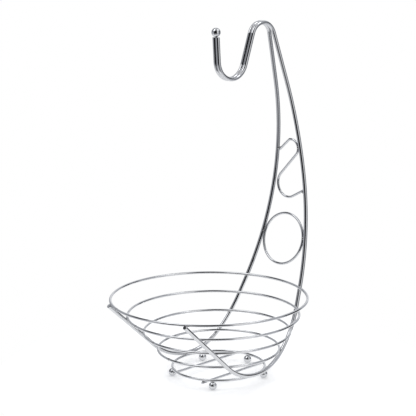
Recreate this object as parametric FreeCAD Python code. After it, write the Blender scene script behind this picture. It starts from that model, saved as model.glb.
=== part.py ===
import FreeCAD
import Part

import math
import os

from FreeCAD import Vector

# Wire fruit bowl with a banana hanger, welded from round chrome-plated steel wire.
#
# Two long hanger wires, mirror images of each other, carry everything. Each starts at the
# hook, makes the hook's round bend and the top bend, comes down the back as one leg of the
# tower, passes outside and under the bowl, and runs up outside its front to the rim. The
# bowl is a row of level rings that lie inside the two wires and are welded to them.
#
# Units are millimetres. X runs from the front of the bowl (-X) to the tower (+X), Y goes
# across, and Z goes up. Heights and X places below are measured from the centre of the base
# ring. The finished part is moved so that the origin is on the ground, in the middle of it.

# Wire and ball sizes
HANGER_WIRE = 5.5
RING_WIRE = 3.5
HOOK_BALL = 12.0
FOOT_BALL = 11.0
WELD_GAP = 0.1
CUT_EDGE = 0.5
CUT_EDGE_SHARE = 0.25

# Bowl
RING_COUNT = 5
RING_STEP = 24.5
BASE_RADIUS = 62.0
FOOT_ANGLES = (5, 66, 140, -142, -60)
BASE_WIRE_CLEARANCE = 3.4
BASE_WIRE_OVERHANG = 1.5

# Top bend, from the hook's neck to the tower
TOP_HEIGHT = 452.5
TOP_FRONT_X = 69.5
TOP_WIDTH = 30.0
TOP_BEND = 20.0

# Hook: the neck drops from the top bend to its bottom, and its free end stands up again
NECK_DROP = 70.0
HOOK_X = 2.5
HOOK_WIDTH = 42.0
HOOK_BEND = 25.0
HOOK_TIP_RISE = 55.5
HOOK_LEAN = 3.0

# Tower: two wide bends with the farthest point back between them
TOWER_X = 140.5
TOWER_UPPER_HEIGHT = 312.0
TOWER_UPPER_SPREAD = 15.5
TOWER_UPPER_BEND = 430.0
TOWER_LOWER_HEIGHT = 167.0
TOWER_LOWER_SPREAD = 38.0
TOWER_LOWER_BEND = 380.0

# Back of the bowl, bottom run and front run. The front run is laid out to just above the rim,
# and each wire is cut off that much short of it, the left one more than the right
BOWL_BACK_X = 84.5
BOWL_BACK_HEIGHT = 47.0
BOWL_BACK_SPREAD = 57.5
BOWL_BACK_BEND = 160.0
BOTTOM_RISE = 2.0
BOTTOM_SPLAY = 0.07
BOTTOM_BACK_X = 40.0
BOTTOM_BACK_BEND = 75.0
BOTTOM_FRONT_X = -27.5
BOTTOM_FRONT_BEND = 90.0
FRONT_END_X = -133.0
FRONT_END_SPREAD = 73.0
FRONT_END_RISE = 1.0
FRONT_CUT_LEFT = 6.0
FRONT_CUT_RIGHT = 3.0

# Round ornament between the legs, above the rim
TOWER_RING_RISE = 55.5

# Scroll between the legs: it starts on the left leg, above the ornament's centre, and the
# height of each corner is measured from the one before
SCROLL_RISE = 119.5
SCROLL_PEAK_RISE = 18.5
SCROLL_PEAK_Y = -1.5
SCROLL_PEAK_BEND = 3.0
SCROLL_SIDE_DROP = 11.0
SCROLL_SIDE_BEND = 5.0
SCROLL_LOOP_DROP = 51.0
SCROLL_LOOP_INSET = 1.5
SCROLL_LOOP_BEND = 19.0
SCROLL_LOW_DROP = 24.5
SCROLL_LOW_Y = 6.5
SCROLL_END_RISE = 19.0

LEFT = 1
RIGHT = -1

# Shortest run that is drawn, and how often the two searches halve or repeat
SHORTEST_RUN = 0.01
CROSSING_HALVINGS = 40
SEATING_ROUNDS = 8


def seat(first, second):
    """Distance between the centre lines of two round pieces that are welded together."""
    return (first + second) / 2 + WELD_GAP


def half_turn_tangents(points):
    """Tangent of half the turn at each point of a route, and 0 at its two ends."""
    tangents = [0.0]
    for before, corner, after in zip(points, points[1:], points[2:]):
        turn = (corner - before).getAngle(after - corner)
        tangents.append(math.tan(turn / 2))
    return tangents + [0.0]


def bent_route(points, bends):
    """Centre line of a bent wire: straight runs joined by round bends at the inner points.

    A bend whose radius doesn't fit its two runs is made as large as they allow.
    """
    tangents = half_turn_tangents(points)
    setbacks = [bend * tangent for bend, tangent in zip([0] + list(bends) + [0], tangents)]
    runs = [(end - start).Length for start, end in zip(points, points[1:])]
    shares = [min(1.0, run / (setbacks[i] + setbacks[i + 1])) for i, run in enumerate(runs)]
    edges = []
    last = points[0]
    for i in range(1, len(points) - 1):
        setback = setbacks[i] * min(shares[i - 1], shares[i])
        incoming = (points[i] - points[i - 1]).normalize()
        outgoing = (points[i + 1] - points[i]).normalize()
        start = points[i] - incoming * setback
        end = points[i] + outgoing * setback
        inward = (outgoing - incoming).normalize()
        radius = setback / tangents[i]
        rise = math.hypot(setback, radius) - radius
        if (start - last).Length > SHORTEST_RUN:
            edges.append(Part.LineSegment(last, start).toShape())
        edges.append(Part.Arc(start, points[i] + inward * rise, end).toShape())
        last = end
    edges.append(Part.LineSegment(last, points[-1]).toShape())
    return Part.Wire(edges)


def round_wire(route, diameter):
    """Solid wire of one diameter along a route, with its two cut edges taken off."""
    first = route.Edges[0]
    start = first.valueAt(first.FirstParameter)
    heading = first.tangentAt(first.FirstParameter)
    section = Part.Wire(Part.makeCircle(diameter / 2, start, heading))
    solid = route.makePipeShell([section], True, False)
    cuts = [edge for face in solid.Faces if isinstance(face.Surface, Part.Plane) for edge in face.Edges]
    return solid.makeChamfer(min(CUT_EDGE, diameter * CUT_EDGE_SHARE), cuts)


def rim_height():
    """Height of the top ring."""
    return RING_STEP * (RING_COUNT - 1)


def tower_ring_height():
    """Height of the centre of the round ornament."""
    return rim_height() + TOWER_RING_RISE


def hanger_route(side, front_cut=0.0):
    """Centre line of the left (side 1) or right (side -1) hanger wire, its front end cut short."""
    beside = (HANGER_WIRE + WELD_GAP) / 2
    reach = BASE_RADIUS + math.sqrt(seat(HANGER_WIRE, RING_WIRE) ** 2 - BOTTOM_RISE ** 2)
    bottom_spread = reach * math.hypot(1, BOTTOM_SPLAY)
    hook_bottom = TOP_HEIGHT - NECK_DROP
    corners = [
        (HOOK_X - HOOK_LEAN, beside, hook_bottom + HOOK_TIP_RISE),
        (HOOK_X, beside, hook_bottom),
        (HOOK_X + HOOK_WIDTH, beside, hook_bottom),
        (TOP_FRONT_X, beside, TOP_HEIGHT),
        (TOP_FRONT_X + TOP_WIDTH, beside, TOP_HEIGHT),
        (TOWER_X, TOWER_UPPER_SPREAD, TOWER_UPPER_HEIGHT),
        (TOWER_X, TOWER_LOWER_SPREAD, TOWER_LOWER_HEIGHT),
        (BOWL_BACK_X, BOWL_BACK_SPREAD, BOWL_BACK_HEIGHT),
        (BOTTOM_BACK_X, bottom_spread - BOTTOM_SPLAY * BOTTOM_BACK_X, BOTTOM_RISE),
        (BOTTOM_FRONT_X, bottom_spread - BOTTOM_SPLAY * BOTTOM_FRONT_X, BOTTOM_RISE),
        (FRONT_END_X, FRONT_END_SPREAD, rim_height() + FRONT_END_RISE),
    ]
    bends = [
        HOOK_BEND,
        HOOK_BEND,
        TOP_BEND,
        TOP_BEND,
        TOWER_UPPER_BEND,
        TOWER_LOWER_BEND,
        BOWL_BACK_BEND,
        BOTTOM_BACK_BEND,
        BOTTOM_FRONT_BEND,
    ]
    points = [Vector(x, side * y, z) for x, y, z in corners]
    points[-1] += (points[-2] - points[-1]).normalize() * front_cut
    return bent_route(points, bends)


def crossings(route, height):
    """Places where a route crosses a height, front one first, each with its direction."""
    found = []
    for edge in route.Edges:
        low, high = sorted(vertex.Z for vertex in edge.Vertexes)
        if not low <= height < high:
            continue
        start, end = edge.FirstParameter, edge.LastParameter
        rising = edge.valueAt(end).z > edge.valueAt(start).z
        for _ in range(CROSSING_HALVINGS):
            middle = (start + end) / 2
            if (edge.valueAt(middle).z < height) == rising:
                start = middle
            else:
                end = middle
        found.append((edge.valueAt(start), edge.tangentAt(start)))
    return sorted(found, key=lambda place: place[0].x)


def radial_gap(place, heading, centre_x):
    """Gap that a level ring leaves to a slanted wire outside it, measured along its radius."""
    outward = Vector(place.x - centre_x, place.y, 0).normalize()
    return seat(HANGER_WIRE, RING_WIRE) * math.hypot(heading.dot(outward) / heading.z, 1)


def ring_in_hanger(height):
    """X of the centre, and radius, of the level ring that seats inside both hanger wires."""
    places = crossings(hanger_route(LEFT), height)
    front, front_heading = places[0]
    back, back_heading = [place for place in places if place[0].x > front.x + BASE_RADIUS][0]
    centre_x = (front.x + back.x) / 2
    for _ in range(SEATING_ROUNDS):
        front_gap = radial_gap(front, front_heading, centre_x)
        back_gap = radial_gap(back, back_heading, centre_x)
        radius = math.hypot(back.x - centre_x, back.y) - back_gap
        squares = back.x ** 2 + back.y ** 2 - front.x ** 2 - front.y ** 2
        reach_squares = (radius + front_gap) ** 2 - (radius + back_gap) ** 2
        centre_x = (squares + reach_squares) / (2 * (back.x - front.x))
    return centre_x, radius


def bowl_rings():
    """Base ring, then the rings above it up to the rim: (name, centre X, height, radius)."""
    rings = [("base_ring", 0.0, 0.0, BASE_RADIUS)]
    for level in range(1, RING_COUNT):
        name = "rim_ring" if level == RING_COUNT - 1 else f"bowl_ring_{level}"
        centre_x, radius = ring_in_hanger(level * RING_STEP)
        rings.append((name, centre_x, level * RING_STEP, radius))
    return rings


def base_wire(side):
    """Straight wire welded under the base ring, just inside the front feet, with both ends past it."""
    front_feet = [angle for angle in FOOT_ANGLES if math.cos(math.radians(angle)) < 0]
    foot_y = min(BASE_RADIUS * abs(math.sin(math.radians(angle))) for angle in front_feet)
    y = side * (foot_y - FOOT_BALL / 2 - BASE_WIRE_CLEARANCE - RING_WIRE / 2)
    z = -seat(RING_WIRE, RING_WIRE)
    half = math.sqrt(BASE_RADIUS ** 2 - y ** 2) + BASE_WIRE_OVERHANG + RING_WIRE / 2
    route = Part.Wire(Part.LineSegment(Vector(-half, y, z), Vector(half, y, z)).toShape())
    return round_wire(route, RING_WIRE)


def foot_balls():
    """Ball feet welded under the base ring."""
    z = -seat(RING_WIRE, FOOT_BALL)
    balls = []
    for angle in FOOT_ANGLES:
        x = BASE_RADIUS * math.cos(math.radians(angle))
        y = BASE_RADIUS * math.sin(math.radians(angle))
        balls.append(Part.makeSphere(FOOT_BALL / 2, Vector(x, y, z)))
    return balls


def leg_at(height):
    """Centre of the left tower leg at a height, and the leg's direction there."""
    return crossings(hanger_route(LEFT), height)[-1]


def butted(leg, side, corner):
    """End of a wire that runs from a corner to a leg and stops where its cut face meets it."""
    place, heading = leg
    centre = Vector(place.x, side * place.y, place.z)
    along = (corner - centre).normalize()
    lean = abs(along.dot(Vector(heading.x, side * heading.y, heading.z)))
    reach = HANGER_WIRE / 2 + WELD_GAP + (RING_WIRE / 2 - CUT_EDGE) * lean
    return centre + along * (reach / math.sqrt(1 - lean ** 2))


def scroll_wire():
    """Flat curled wire between the tower legs, from the left leg, past the right, to the right."""
    start_height = tower_ring_height() + SCROLL_RISE
    peak_height = start_height + SCROLL_PEAK_RISE
    side_height = peak_height - SCROLL_SIDE_DROP
    loop_height = side_height - SCROLL_LOOP_DROP
    low_height = loop_height - SCROLL_LOW_DROP
    start_leg = leg_at(start_height)
    end_leg = leg_at(low_height + SCROLL_END_RISE)
    slant = (start_leg[0].x - end_leg[0].x) / (start_leg[0].z - end_leg[0].z)

    def in_plane(y, z):
        return Vector(end_leg[0].x + slant * (z - end_leg[0].z), y, z)

    def route(side_y):
        corners = [
            in_plane(SCROLL_PEAK_Y, peak_height),
            in_plane(side_y, side_height),
            in_plane(leg_at(loop_height)[0].y - SCROLL_LOOP_INSET, loop_height),
            in_plane(SCROLL_LOW_Y, low_height),
        ]
        corners.insert(0, butted(start_leg, LEFT, corners[0]))
        corners.append(butted(end_leg, RIGHT, corners[-1]))
        bends = [SCROLL_PEAK_BEND, SCROLL_SIDE_BEND, SCROLL_LOOP_BEND, SCROLL_LOOP_BEND]
        return bent_route(corners, bends)

    touching = seat(HANGER_WIRE, RING_WIRE)
    trial_y = touching - leg_at(side_height)[0].y
    upper = [edge for edge in route(trial_y).Edges if edge.BoundBox.ZMin > loop_height]
    clear = Part.Compound(upper).distToShape(hanger_route(RIGHT))[0]
    return round_wire(route(trial_y - clear + touching), RING_WIRE)


def tower_ring():
    """Round ornament, set between the legs in their own slant and touching both."""
    height = tower_ring_height()
    place, heading = leg_at(height)
    radius = place.y * math.sqrt(1 - heading.y ** 2) - seat(HANGER_WIRE, RING_WIRE)
    facing = Vector(-heading.z, 0, heading.x).normalize()
    return Part.makeTorus(radius, RING_WIRE / 2, Vector(place.x, 0, height), facing)


def hook_ball():
    """Ball welded on the two wire ends at the tip of the hook."""
    height = TOP_HEIGHT - NECK_DROP + HOOK_TIP_RISE + WELD_GAP + HOOK_BALL / 2
    return Part.makeSphere(HOOK_BALL / 2, Vector(HOOK_X - HOOK_LEAN, 0, height))


def all_pieces():
    """Every piece by name, in the frame of the base ring."""
    rings = bowl_rings()
    pieces = {}
    for name, centre_x, height, radius in rings:
        pieces[name] = Part.makeTorus(radius, RING_WIRE / 2, Vector(centre_x, 0, height))
    for side, word, cut in ((LEFT, "left", FRONT_CUT_LEFT), (RIGHT, "right", FRONT_CUT_RIGHT)):
        pieces[f"hanger_wire_{word}"] = round_wire(hanger_route(side, cut), HANGER_WIRE)
        pieces[f"base_wire_{word}"] = base_wire(side)
    for number, ball in enumerate(foot_balls(), 1):
        pieces[f"foot_ball_{number}"] = ball
    pieces["scroll_wire"] = scroll_wire()
    pieces["tower_ring"] = tower_ring()
    pieces["hook_ball"] = hook_ball()
    return pieces


def ground_offset():
    """Move from the centre of the base ring to the ground under the middle of the part."""
    _, rim_x, _, rim_radius = bowl_rings()[-1]
    front = rim_x - rim_radius - RING_WIRE / 2
    back = TOWER_X + HANGER_WIRE / 2
    height = seat(RING_WIRE, FOOT_BALL) + FOOT_BALL / 2
    return Vector(-(front + back) / 2, 0, height)


os.makedirs("parts", exist_ok=True)
offset = ground_offset()
for name, piece in all_pieces().items():
    piece.translate(offset)
    piece.exportStep(f"parts/{name}.step")
    print(name, "valid" if piece.isValid() else "not valid", round(piece.Volume), "mm3")
for name, centre_x, height, radius in bowl_rings():
    print(f"{name}: radius {radius:.2f}, centre X {centre_x:.2f}, height {height:.2f}")
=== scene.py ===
import math

import bpy
from mathutils import Matrix, Vector
from mathutils.bvhtree import BVHTree


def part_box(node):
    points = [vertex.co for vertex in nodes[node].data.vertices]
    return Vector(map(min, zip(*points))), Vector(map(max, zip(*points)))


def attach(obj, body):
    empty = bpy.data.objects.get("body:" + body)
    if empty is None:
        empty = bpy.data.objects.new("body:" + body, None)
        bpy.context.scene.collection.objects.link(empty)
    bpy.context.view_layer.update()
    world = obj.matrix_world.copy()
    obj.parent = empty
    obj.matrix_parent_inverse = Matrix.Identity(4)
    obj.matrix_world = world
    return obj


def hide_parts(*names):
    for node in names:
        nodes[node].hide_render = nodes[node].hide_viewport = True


# Fruit bowl with a banana hanger: round steel wire and steel balls, resistance welded and then
# plated with bright nickel and chrome as one piece. The wires, rings and balls are the packed
# model's own solids, apart from the scroll between the tower legs, which is drawn again with its
# wide upper bend. Added here are the welds that hold the pieces together, the butt joints of the
# rings, the plated finish, and a plain white studio.
#
# Lengths are metres unless a comment says otherwise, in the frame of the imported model: Z up, the
# bowl's front towards -X, and +Y to the left as seen from the front.

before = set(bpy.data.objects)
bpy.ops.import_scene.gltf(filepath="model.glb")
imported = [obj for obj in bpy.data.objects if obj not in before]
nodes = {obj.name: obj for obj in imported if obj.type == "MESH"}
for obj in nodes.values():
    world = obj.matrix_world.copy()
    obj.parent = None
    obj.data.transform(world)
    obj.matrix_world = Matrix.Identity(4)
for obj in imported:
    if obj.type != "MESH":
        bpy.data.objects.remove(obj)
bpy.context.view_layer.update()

RING_RADIUS = 0.00175
BALLS = [name for name in nodes if "ball" in name]
FEET = [name for name in BALLS if name.startswith("foot")]
RINGS = ["base_ring", "bowl_ring_1", "bowl_ring_2", "bowl_ring_3", "rim_ring"]
HANGERS = ["hanger_wire_left", "hanger_wire_right"]
BASE_WIRES = ["base_wire_left", "base_wire_right"]


# Colours and materials

CHROME_TINTS = ("cccdcf", "d4d5d7")
NOISE_LOW = 0.35
NOISE_HIGH = 0.7
WELD_TINTS = ("a8a6a4", "dadbdd")
WELD_ROUGHNESS = (0.36, 0.14)
WELD_SPOT = 0.0012
WELD_GRAIN = 0.0004
WELD_GRAIN_HEIGHT = 0.0001


def linear(colour):
    """Linear RGBA of an sRGB hex colour such as "e5e6e9"."""
    parts = [int(colour[i:i + 2], 16) / 255 for i in (0, 2, 4)]
    return [c / 12.92 if c <= 0.04045 else ((c + 0.055) / 1.055) ** 2.4 for c in parts] + [1.0]


def add_node(tree, kind, settings=None, **inputs):
    """Adds a shader node with its settings, and its inputs as values or as sockets to link.

    An input is named as in the shader editor, or by its number after an underscore.
    """
    node = tree.nodes.new(kind)
    for name, value in (settings or {}).items():
        setattr(node, name, value)
    for name, value in inputs.items():
        socket = node.inputs[int(name[1:])] if name[0] == "_" else node.inputs[name.replace("_", " ")]
        if isinstance(value, bpy.types.NodeSocket):
            tree.links.new(value, socket)
        else:
            socket.default_value = value
    return node


def new_metal(name):
    """Material with a bare metallic Principled shader, its tree, shader and Object coordinates."""
    material = bpy.data.materials.new(name)
    material.use_nodes = True
    tree = material.node_tree
    shader = tree.nodes["Principled BSDF"]
    shader.inputs["Metallic"].default_value = 1.0
    place = add_node(tree, "ShaderNodeTexCoord").outputs["Object"]
    return material, tree, shader, place


def finish_metal(tree, shader, tint, rough, bump):
    """Links a tint, a roughness and a bump to the shader."""
    tree.links.new(tint.outputs[2], shader.inputs["Base Color"])
    tree.links.new(rough.outputs["Result"], shader.inputs["Roughness"])
    tree.links.new(bump.outputs["Normal"], shader.inputs["Normal"])


def chrome_plate(name, haze_size, gloss, ripple_size, ripple_height):
    """Bright chrome over nickel on drawn steel.

    It mirrors the room, with soft cloudy haze from handling, and the faint ripple of the drawn
    and plated wire makes the edges of reflections waver.
    """
    material, tree, shader, place = new_metal(name)
    haze = add_node(tree, "ShaderNodeTexNoise", Vector=place, Scale=1 / haze_size, Detail=3.0)
    tint = add_node(tree, "ShaderNodeMix", {"data_type": "RGBA"}, Factor=haze.outputs["Fac"],
                    _6=linear(CHROME_TINTS[0]), _7=linear(CHROME_TINTS[1]))
    rough = add_node(tree, "ShaderNodeMapRange", Value=haze.outputs["Fac"], _1=NOISE_LOW,
                     _2=NOISE_HIGH, _3=gloss[0], _4=gloss[1])
    ripple = add_node(tree, "ShaderNodeTexNoise", Vector=place, Scale=1 / ripple_size, Detail=1.0)
    bump = add_node(tree, "ShaderNodeBump", Height=ripple.outputs["Fac"], Strength=1.0,
                    Distance=ripple_height)
    finish_metal(tree, shader, tint, rough, bump)
    return material


def weld_metal():
    """Resistance weld, plated with the rest.

    The squeezed-out metal is grainy, so its chrome is duller and darker, and brownish in spots
    where the weld's heat haze shows through thin plating.
    """
    material, tree, shader, place = new_metal("plated_weld_metal")
    spots = add_node(tree, "ShaderNodeTexNoise", Vector=place, Scale=1 / WELD_SPOT, Detail=2.0)
    tint = add_node(tree, "ShaderNodeMix", {"data_type": "RGBA"}, Factor=spots.outputs["Fac"],
                    _6=linear(WELD_TINTS[0]), _7=linear(WELD_TINTS[1]))
    rough = add_node(tree, "ShaderNodeMapRange", Value=spots.outputs["Fac"], _3=WELD_ROUGHNESS[0],
                     _4=WELD_ROUGHNESS[1])
    grain = add_node(tree, "ShaderNodeTexNoise", Vector=place, Scale=1 / WELD_GRAIN, Detail=2.0)
    bump = add_node(tree, "ShaderNodeBump", Height=grain.outputs["Fac"], Strength=0.6,
                    Distance=WELD_GRAIN_HEIGHT)
    finish_metal(tree, shader, tint, rough, bump)
    return material


WIRE_CHROME = chrome_plate("bright_chrome_on_drawn_wire", haze_size=0.018, gloss=(0.03, 0.07),
                           ripple_size=0.006, ripple_height=0.00003)
BALL_CHROME = chrome_plate("bright_chrome_on_ground_balls", haze_size=0.007, gloss=(0.02, 0.05),
                           ripple_size=0.003, ripple_height=0.00001)
WELD_METAL = weld_metal()

for name, node in nodes.items():
    node.data.materials.clear()
    node.data.materials.append(BALL_CHROME if name in BALLS else WIRE_CHROME)


# Round pieces, drawn from a disc

WIRE_SIDES = 32
COLLAR_SIDES = 24
BEND_STEP = math.radians(6)
MERGE = 0.00001
SMOOTH_BELOW = math.radians(50)


def deselect_all():
    """Clears the selection, because an operator acts on all that is selected."""
    bpy.ops.object.select_all(action="DESELECT")


def start_disc(name, sides, radius, place, turn=(0, 0, 0)):
    """New disc, in edit mode with all of it selected, ready to be drawn out."""
    deselect_all()
    bpy.ops.mesh.primitive_circle_add(vertices=sides, radius=radius, fill_type="NGON",
                                      location=place, rotation=turn)
    piece = bpy.context.object
    piece.name = name
    bpy.ops.object.transform_apply(location=True, rotation=True, scale=True)
    bpy.ops.object.mode_set(mode="EDIT")
    bpy.ops.mesh.select_all(action="SELECT")
    return piece


def finish_piece(piece, material):
    """Ends the edit of a round piece: normals outward, smooth except at the rims of its ends."""
    bpy.ops.mesh.select_all(action="SELECT")
    bpy.ops.mesh.remove_doubles(threshold=MERGE)
    bpy.ops.mesh.normals_make_consistent(inside=False)
    bpy.ops.object.mode_set(mode="OBJECT")
    bpy.ops.object.shade_smooth_by_angle(angle=SMOOTH_BELOW)
    piece.data.materials.clear()
    piece.data.materials.append(material)


def bent_wire(name, corners, bends, radius):
    """Round wire drawn along straight runs and spun round each corner to its bend."""
    way = (corners[1] - corners[0]).normalized()
    turn = way.to_track_quat("Z", "X").to_euler()
    piece = start_disc(name, WIRE_SIDES, radius, corners[0], turn)
    at = corners[0]
    for before, corner, after, bend in zip(corners, corners[1:], corners[2:], bends):
        come = (corner - before).normalized()
        go = (after - corner).normalized()
        angle = come.angle(go)
        cut = bend * math.tan(angle / 2)
        start = corner - come * cut
        axis = go.cross(come).normalized()
        bpy.ops.mesh.extrude_region_move(TRANSFORM_OT_translate={"value": start - at})
        bpy.ops.mesh.spin(steps=math.ceil(angle / BEND_STEP), angle=angle, axis=axis,
                          center=start + come.cross(axis) * bend)
        at = corner + go * cut
    bpy.ops.mesh.extrude_region_move(TRANSFORM_OT_translate={"value": corners[-1] - at})
    finish_piece(piece, WIRE_CHROME)
    return piece


def swollen_collar(name, radii, heights):
    """Closed round piece on the Z axis: a disc drawn up through a row of radii."""
    piece = start_disc(name, COLLAR_SIDES, radii[0], (0, 0, heights[0]))
    for radius, next_radius, height, next_height in zip(radii, radii[1:], heights, heights[1:]):
        lift = {"value": (0, 0, next_height - height)}
        bpy.ops.mesh.extrude_region_move(TRANSFORM_OT_translate=lift)
        grow = next_radius / radius
        bpy.ops.transform.resize(value=(grow, grow, 1), center_override=(0, 0, next_height))
    finish_piece(piece, WELD_METAL)
    return piece


# The scroll between the tower legs, with the wide upper bend that the solid lacks. Its corners and
# bends are millimetres, the corners across the legs and up in the plane that the legs share there.
# The plane passes through SCROLL_FOOT, out from the bowl and up, and leans back by SCROLL_LEAN.
SCROLL_CORNERS = [(17.05, 288.22), (-0.6, 303.8), (-31.95, 303.8), (26.81, 242.35), (6.5, 217.85),
                  (-26.03, 235.18)]
SCROLL_BENDS = [3.0, 11.8, 19.0, 19.0]
SCROLL_FOOT = (142.27, 235.23)
SCROLL_LEAN = 0.00514
MILLIMETRES = 1000


def on_scroll_plane(across, up):
    """Point of the scroll's plane, in metres."""
    out = SCROLL_FOOT[0] + SCROLL_LEAN * (up - SCROLL_FOOT[1])
    return Vector((out, across, up)) / MILLIMETRES


scroll = bent_wire("curled_scroll_wire", [on_scroll_plane(*corner) for corner in SCROLL_CORNERS],
                   [bend / MILLIMETRES for bend in SCROLL_BENDS], RING_RADIUS)
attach(scroll, "root")
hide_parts("scroll_wire")


# Welds, wherever two of the pieces named in WELDED come nearer to each other than NEAR

WELDED = {
    "rim_ring": HANGERS,
    "bowl_ring_3": HANGERS,
    "bowl_ring_2": HANGERS,
    "bowl_ring_1": HANGERS,
    "base_ring": HANGERS + BASE_WIRES,
    "scroll_wire": HANGERS,
    "tower_ring": HANGERS,
    "hook_ball": HANGERS,
}
ORNAMENTS = ["scroll_wire", "tower_ring"]
ORNAMENT_WELD = 1.5
NEAR = 0.0008
APART = 0.006
CLOSING_STEPS = 30

MESHES = {name: node.data for name, node in nodes.items()}
MESHES["scroll_wire"] = scroll.data


def surface(name):
    """Search tree of a wire's or ball's surface."""
    mesh = MESHES[name]
    return BVHTree.FromPolygons([v.co for v in mesh.vertices], [p.vertices for p in mesh.polygons])


SURFACES = {name: surface(name) for name in nodes}


def touching_places(first, second):
    """Places where two nodes are welded: the middle of the gap and the way across it."""
    low_a, high_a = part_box(first)
    low_b, high_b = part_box(second)
    if any(low_a[i] > high_b[i] + NEAR or low_b[i] > high_a[i] + NEAR for i in range(3)):
        return []
    found = []
    for vertex in MESHES[first].vertices:
        hit, _, _, distance = SURFACES[second].find_nearest(vertex.co, NEAR)
        if hit is not None:
            found.append((distance, vertex.co.copy(), hit))
    places = []
    for _, on_first, on_second in sorted(found, key=lambda item: item[0]):
        for _ in range(CLOSING_STEPS):
            on_first = SURFACES[first].find_nearest(on_second)[0]
            on_second = SURFACES[second].find_nearest(on_first)[0]
        middle = (on_first + on_second) / 2
        if all((middle - place).length > APART for place, _ in places):
            places.append((middle, (on_second - on_first).normalized()))
    return places


def put(piece, name, place, way, scale=1.0):
    """Copy of a piece with its own mesh, its Z axis turned to a way and its origin at a place."""
    mesh = piece.data.copy()
    turn = way.to_track_quat("Z", "X").to_matrix().to_4x4()
    mesh.transform(Matrix.Translation(place) @ turn @ Matrix.Scale(scale, 4))
    copy = bpy.data.objects.new(name, mesh)
    bpy.context.scene.collection.objects.link(copy)
    return copy


def joined(pieces, name):
    """Several pieces as one, which rides on the part."""
    deselect_all()
    for piece in pieces:
        piece.select_set(True)
    bpy.context.view_layer.objects.active = pieces[0]
    if len(pieces) > 1:
        bpy.ops.object.join()
    piece = bpy.context.object
    piece.name = name
    piece.data.name = name
    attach(piece, "root")
    return piece


# A cross weld fills the crevice around the point where two round wires are pressed together. It
# is a low spool: narrow between the wires, and wider where it runs into each of them.
SPOOL_RADII = [0.0017, 0.0015, 0.0012, 0.0011, 0.0012, 0.0015, 0.0017]
SPOOL_HEIGHTS = [-0.0007, -0.0005, -0.0002, 0, 0.0002, 0.0005, 0.0007]
spool = swollen_collar("weld_spool", SPOOL_RADII, SPOOL_HEIGHTS)

for name, others in WELDED.items():
    places = [place for other in others for place in touching_places(name, other)]
    scale = ORNAMENT_WELD if name in ORNAMENTS else 1.0
    welds = [put(spool, f"{name}_weld_{i}", place, way, scale)
             for i, (place, way) in enumerate(places)]
    joined(welds, f"{name}_welds")
foot_places = [place for name in FEET for place in touching_places(name, "base_ring")]
foot_welds = [put(spool, f"foot_weld_{i}", place, way)
              for i, (place, way) in enumerate(foot_places)]
joined(foot_welds, "foot_welds")


# Each ring is one wire bent round and butt welded end to end, with a slight swelling left there,
# just left of the front of the bowl. The angles are degrees from the tower's side.
SWELLING_RADII = [RING_RADIUS * share for share in (0.97, 1.03, 1.09, 1.14, 1.09, 1.03, 0.97)]
SWELLING_HEIGHTS = [-0.0022, -0.0014, -0.0006, 0, 0.0006, 0.0014, 0.0022]
JOINT_ANGLES = {
    "base_ring": 150,
    "bowl_ring_1": 172,
    "bowl_ring_2": 168,
    "bowl_ring_3": 164,
    "rim_ring": 160,
}
swelling = swollen_collar("butt_swelling", SWELLING_RADII, SWELLING_HEIGHTS)

for name in RINGS:
    low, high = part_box(name)
    centre = (low + high) / 2
    radius = (high.x - low.x) / 2 - RING_RADIUS
    angle = math.radians(JOINT_ANGLES[name])
    place = centre + radius * Vector((math.cos(angle), math.sin(angle), 0))
    along = Vector((-math.sin(angle), math.cos(angle), 0))
    joined([put(swelling, f"{name}_joint", place, along)], f"{name}_butt_joint")

for piece in (spool, swelling):
    bpy.data.objects.remove(piece)


# Camera

CAMERA_AZIMUTH = math.radians(-44.47)
CAMERA_ELEVATION = math.radians(11.76)
CAMERA_ROLL = math.radians(-0.475)
CAMERA_PLACE = Vector((-1.17335, -1.18021, 0.57542))
LENS_MM = 112.5
SENSOR_MM = 36.0
FARTHEST = 100.0

camera_data = bpy.data.cameras.new("camera")
camera_data.sensor_width = SENSOR_MM
camera_data.lens = LENS_MM
camera_data.clip_end = FARTHEST
camera = bpy.data.objects.new("camera", camera_data)
bpy.context.scene.collection.objects.link(camera)
camera.matrix_world = (Matrix.Translation(CAMERA_PLACE)
                       @ Matrix.Rotation(CAMERA_AZIMUTH, 4, "Z")
                       @ Matrix.Rotation(math.pi / 2 - CAMERA_ELEVATION, 4, "X")
                       @ Matrix.Rotation(CAMERA_ROLL, 4, "Z"))
bpy.context.scene.camera = camera


# Studio: a white table in a white room, in which only the chrome sees walls and dark places

TABLE_RADIUS = 0.3
TABLE_SIDES = 96
TABLE_WHITE = "f2f3f5"
TABLE_GLOW = 0.3

# Strength of the white room as light on the part, and as the camera and the chrome see it
ROOM_LIGHT = 0.8
ROOM_SEEN = 1.0

# The pale sweep, which the chrome mirrors wherever there is no patch
SWEEP = "f4f5f8"

# Soft-edged patches of what the chrome mirrors, each one over those before it: the colour, the
# middle and half width round the part, the same up from the table's level, and the width of the
# edge, in degrees. Round the part, 0 is the camera's side and the angle grows to its right.
ROOM = [
    # Grey walls at the left and the right, the right one running up over the ceiling behind
    ("b8babf", (-104, 58), (14, 32), 12),
    ("c4c6cb", (95, 50), (10, 45), 12),
    ("b4b6ba", (130, 36), (74, 16), 12),
    # Dark strip along the top of the left wall, and a dark opening in that wall
    ("3a3b3d", (-134, 32), (47, 4), 5),
    ("48494c", (-98, 9), (29, 14), 7),
    # Doorway at the right
    ("1c1d1f", (109, 13), (0, 20), 8),
    # Floor in front, past the table
    ("88898c", (-15, 42), (-28, 18), 12),
    # Dim room around the camera
    ("262628", (-14, 36), (7, 25), 9),
    # White screen at the right of the camera
    ("ffffff", (41, 9), (22, 35), 7),
    # The dark that the camera looks out of, which runs up towards the ceiling
    ("040405", (0, 20), (40, 42), 6),
]


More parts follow.
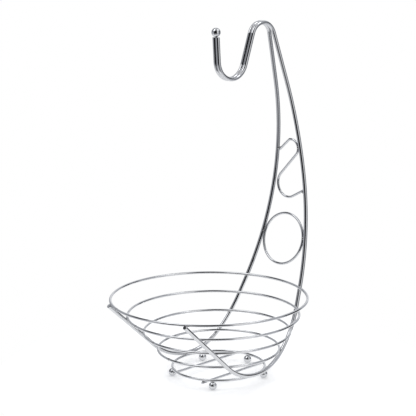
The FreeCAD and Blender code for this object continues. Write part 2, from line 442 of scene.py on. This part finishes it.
def largest(tree, first, second):
    """Larger of two values."""
    return add_node(tree, "ShaderNodeMath", {"operation": "MAXIMUM"}, _0=first, _1=second).outputs[0]


def seen_directly(tree):
    """1 for what the camera, a mirror or a glass shows, 0 for light on the object."""
    path = add_node(tree, "ShaderNodeLightPath").outputs
    looked_at = largest(tree, path["Is Camera Ray"], path["Is Glossy Ray"])
    return largest(tree, looked_at, path["Is Transmission Ray"])


def table_paper():
    """Matt white paper, lifted to white where it is looked at, with no more light on the object."""
    paper = bpy.data.materials.new("matt_white_paper")
    paper.use_nodes = True
    tree = paper.node_tree
    tree.nodes.remove(tree.nodes["Principled BSDF"])
    diffuse = add_node(tree, "ShaderNodeBsdfDiffuse", Color=linear(TABLE_WHITE))
    strength = add_node(tree, "ShaderNodeMath", {"operation": "MULTIPLY"}, _0=seen_directly(tree),
                        _1=TABLE_GLOW)
    glow = add_node(tree, "ShaderNodeEmission", Strength=strength.outputs[0])
    both = add_node(tree, "ShaderNodeAddShader", _0=diffuse.outputs[0], _1=glow.outputs[0])
    tree.links.new(both.outputs[0], tree.nodes["Material Output"].inputs["Surface"])
    return paper


deselect_all()
bpy.ops.mesh.primitive_circle_add(vertices=TABLE_SIDES, radius=TABLE_RADIUS, fill_type="NGON")
table = bpy.context.object
table.name = "white_table"
table.data.materials.append(table_paper())

world = bpy.data.worlds.new("studio")
bpy.context.scene.world = world
world.use_nodes = True
tree = world.node_tree
background = tree.nodes["Background"]
direction = add_node(tree, "ShaderNodeTexCoord").outputs["Generated"]
turned = add_node(tree, "ShaderNodeVectorRotate", {"rotation_type": "Z_AXIS"}, Vector=direction,
                  Angle=-CAMERA_AZIMUTH)
parts = add_node(tree, "ShaderNodeSeparateXYZ", Vector=turned.outputs["Vector"]).outputs
towards = add_node(tree, "ShaderNodeMath", {"operation": "MULTIPLY"}, _0=parts["Y"], _1=-1.0)
azimuth = add_node(tree, "ShaderNodeMath", {"operation": "ARCTAN2"}, _0=parts["X"],
                   _1=towards.outputs[0])
elevation = add_node(tree, "ShaderNodeMath", {"operation": "ARCSINE"}, _0=parts["Z"])


def within(value, middle, half, edge):
    """1 where an angle is inside a range about its middle, fading to 0 over the edge; degrees."""
    apart = add_node(tree, "ShaderNodeMath", {"operation": "SUBTRACT"}, _0=value.outputs[0],
                     _1=math.radians(middle))
    size = add_node(tree, "ShaderNodeMath", {"operation": "ABSOLUTE"}, _0=apart.outputs[0])
    return add_node(tree, "ShaderNodeMapRange", {"interpolation_type": "SMOOTHSTEP"},
                    Value=size.outputs[0], _1=math.radians(half + edge), _2=math.radians(half))


def room_patch(under, colour, across, up, edge):
    """Colour of the room with one more patch over it."""
    inside = add_node(tree, "ShaderNodeMath", {"operation": "MULTIPLY"},
                      _0=within(azimuth, *across, edge).outputs[0],
                      _1=within(elevation, *up, edge).outputs[0])
    return add_node(tree, "ShaderNodeMix", {"data_type": "RGBA"}, Factor=inside.outputs[0],
                    _6=under, _7=linear(colour)).outputs[2]


room = linear(SWEEP)
for patch in ROOM:
    room = room_patch(room, *patch)
glossy = add_node(tree, "ShaderNodeLightPath").outputs["Is Glossy Ray"]
colour = add_node(tree, "ShaderNodeMix", {"data_type": "RGBA"}, Factor=glossy,
                  _6=linear("ffffff"), _7=room)
strength = add_node(tree, "ShaderNodeMapRange", Value=seen_directly(tree), _3=ROOM_LIGHT,
                    _4=ROOM_SEEN)
tree.links.new(colour.outputs[2], background.inputs["Color"])
tree.links.new(strength.outputs[0], background.inputs["Strength"])


def softbox(name, azimuth, elevation, distance, size, glow):
    """Square soft lamp that faces the bowl, placed about it from the camera's side; degrees."""
    data = bpy.data.lights.new(name, "AREA")
    data.size = size
    data.energy = glow * math.pi * size ** 2
    lamp = bpy.data.objects.new(name, data)
    turn = CAMERA_AZIMUTH + math.radians(azimuth)
    level = Vector((math.sin(turn), -math.cos(turn), 0)) * math.cos(math.radians(elevation))
    way = level + Vector((0, 0, math.sin(math.radians(elevation))))
    lamp.location = way * distance
    lamp.rotation_euler = way.to_track_quat("Z", "Y").to_euler()
    bpy.context.scene.collection.objects.link(lamp)


softbox("softbox_left", azimuth=-72, elevation=60, distance=1.6, size=0.8, glow=1.3)
softbox("softbox_right", azimuth=84, elevation=61, distance=1.6, size=0.45, glow=2.6)

bpy.context.scene.view_settings.view_transform = "Standard"
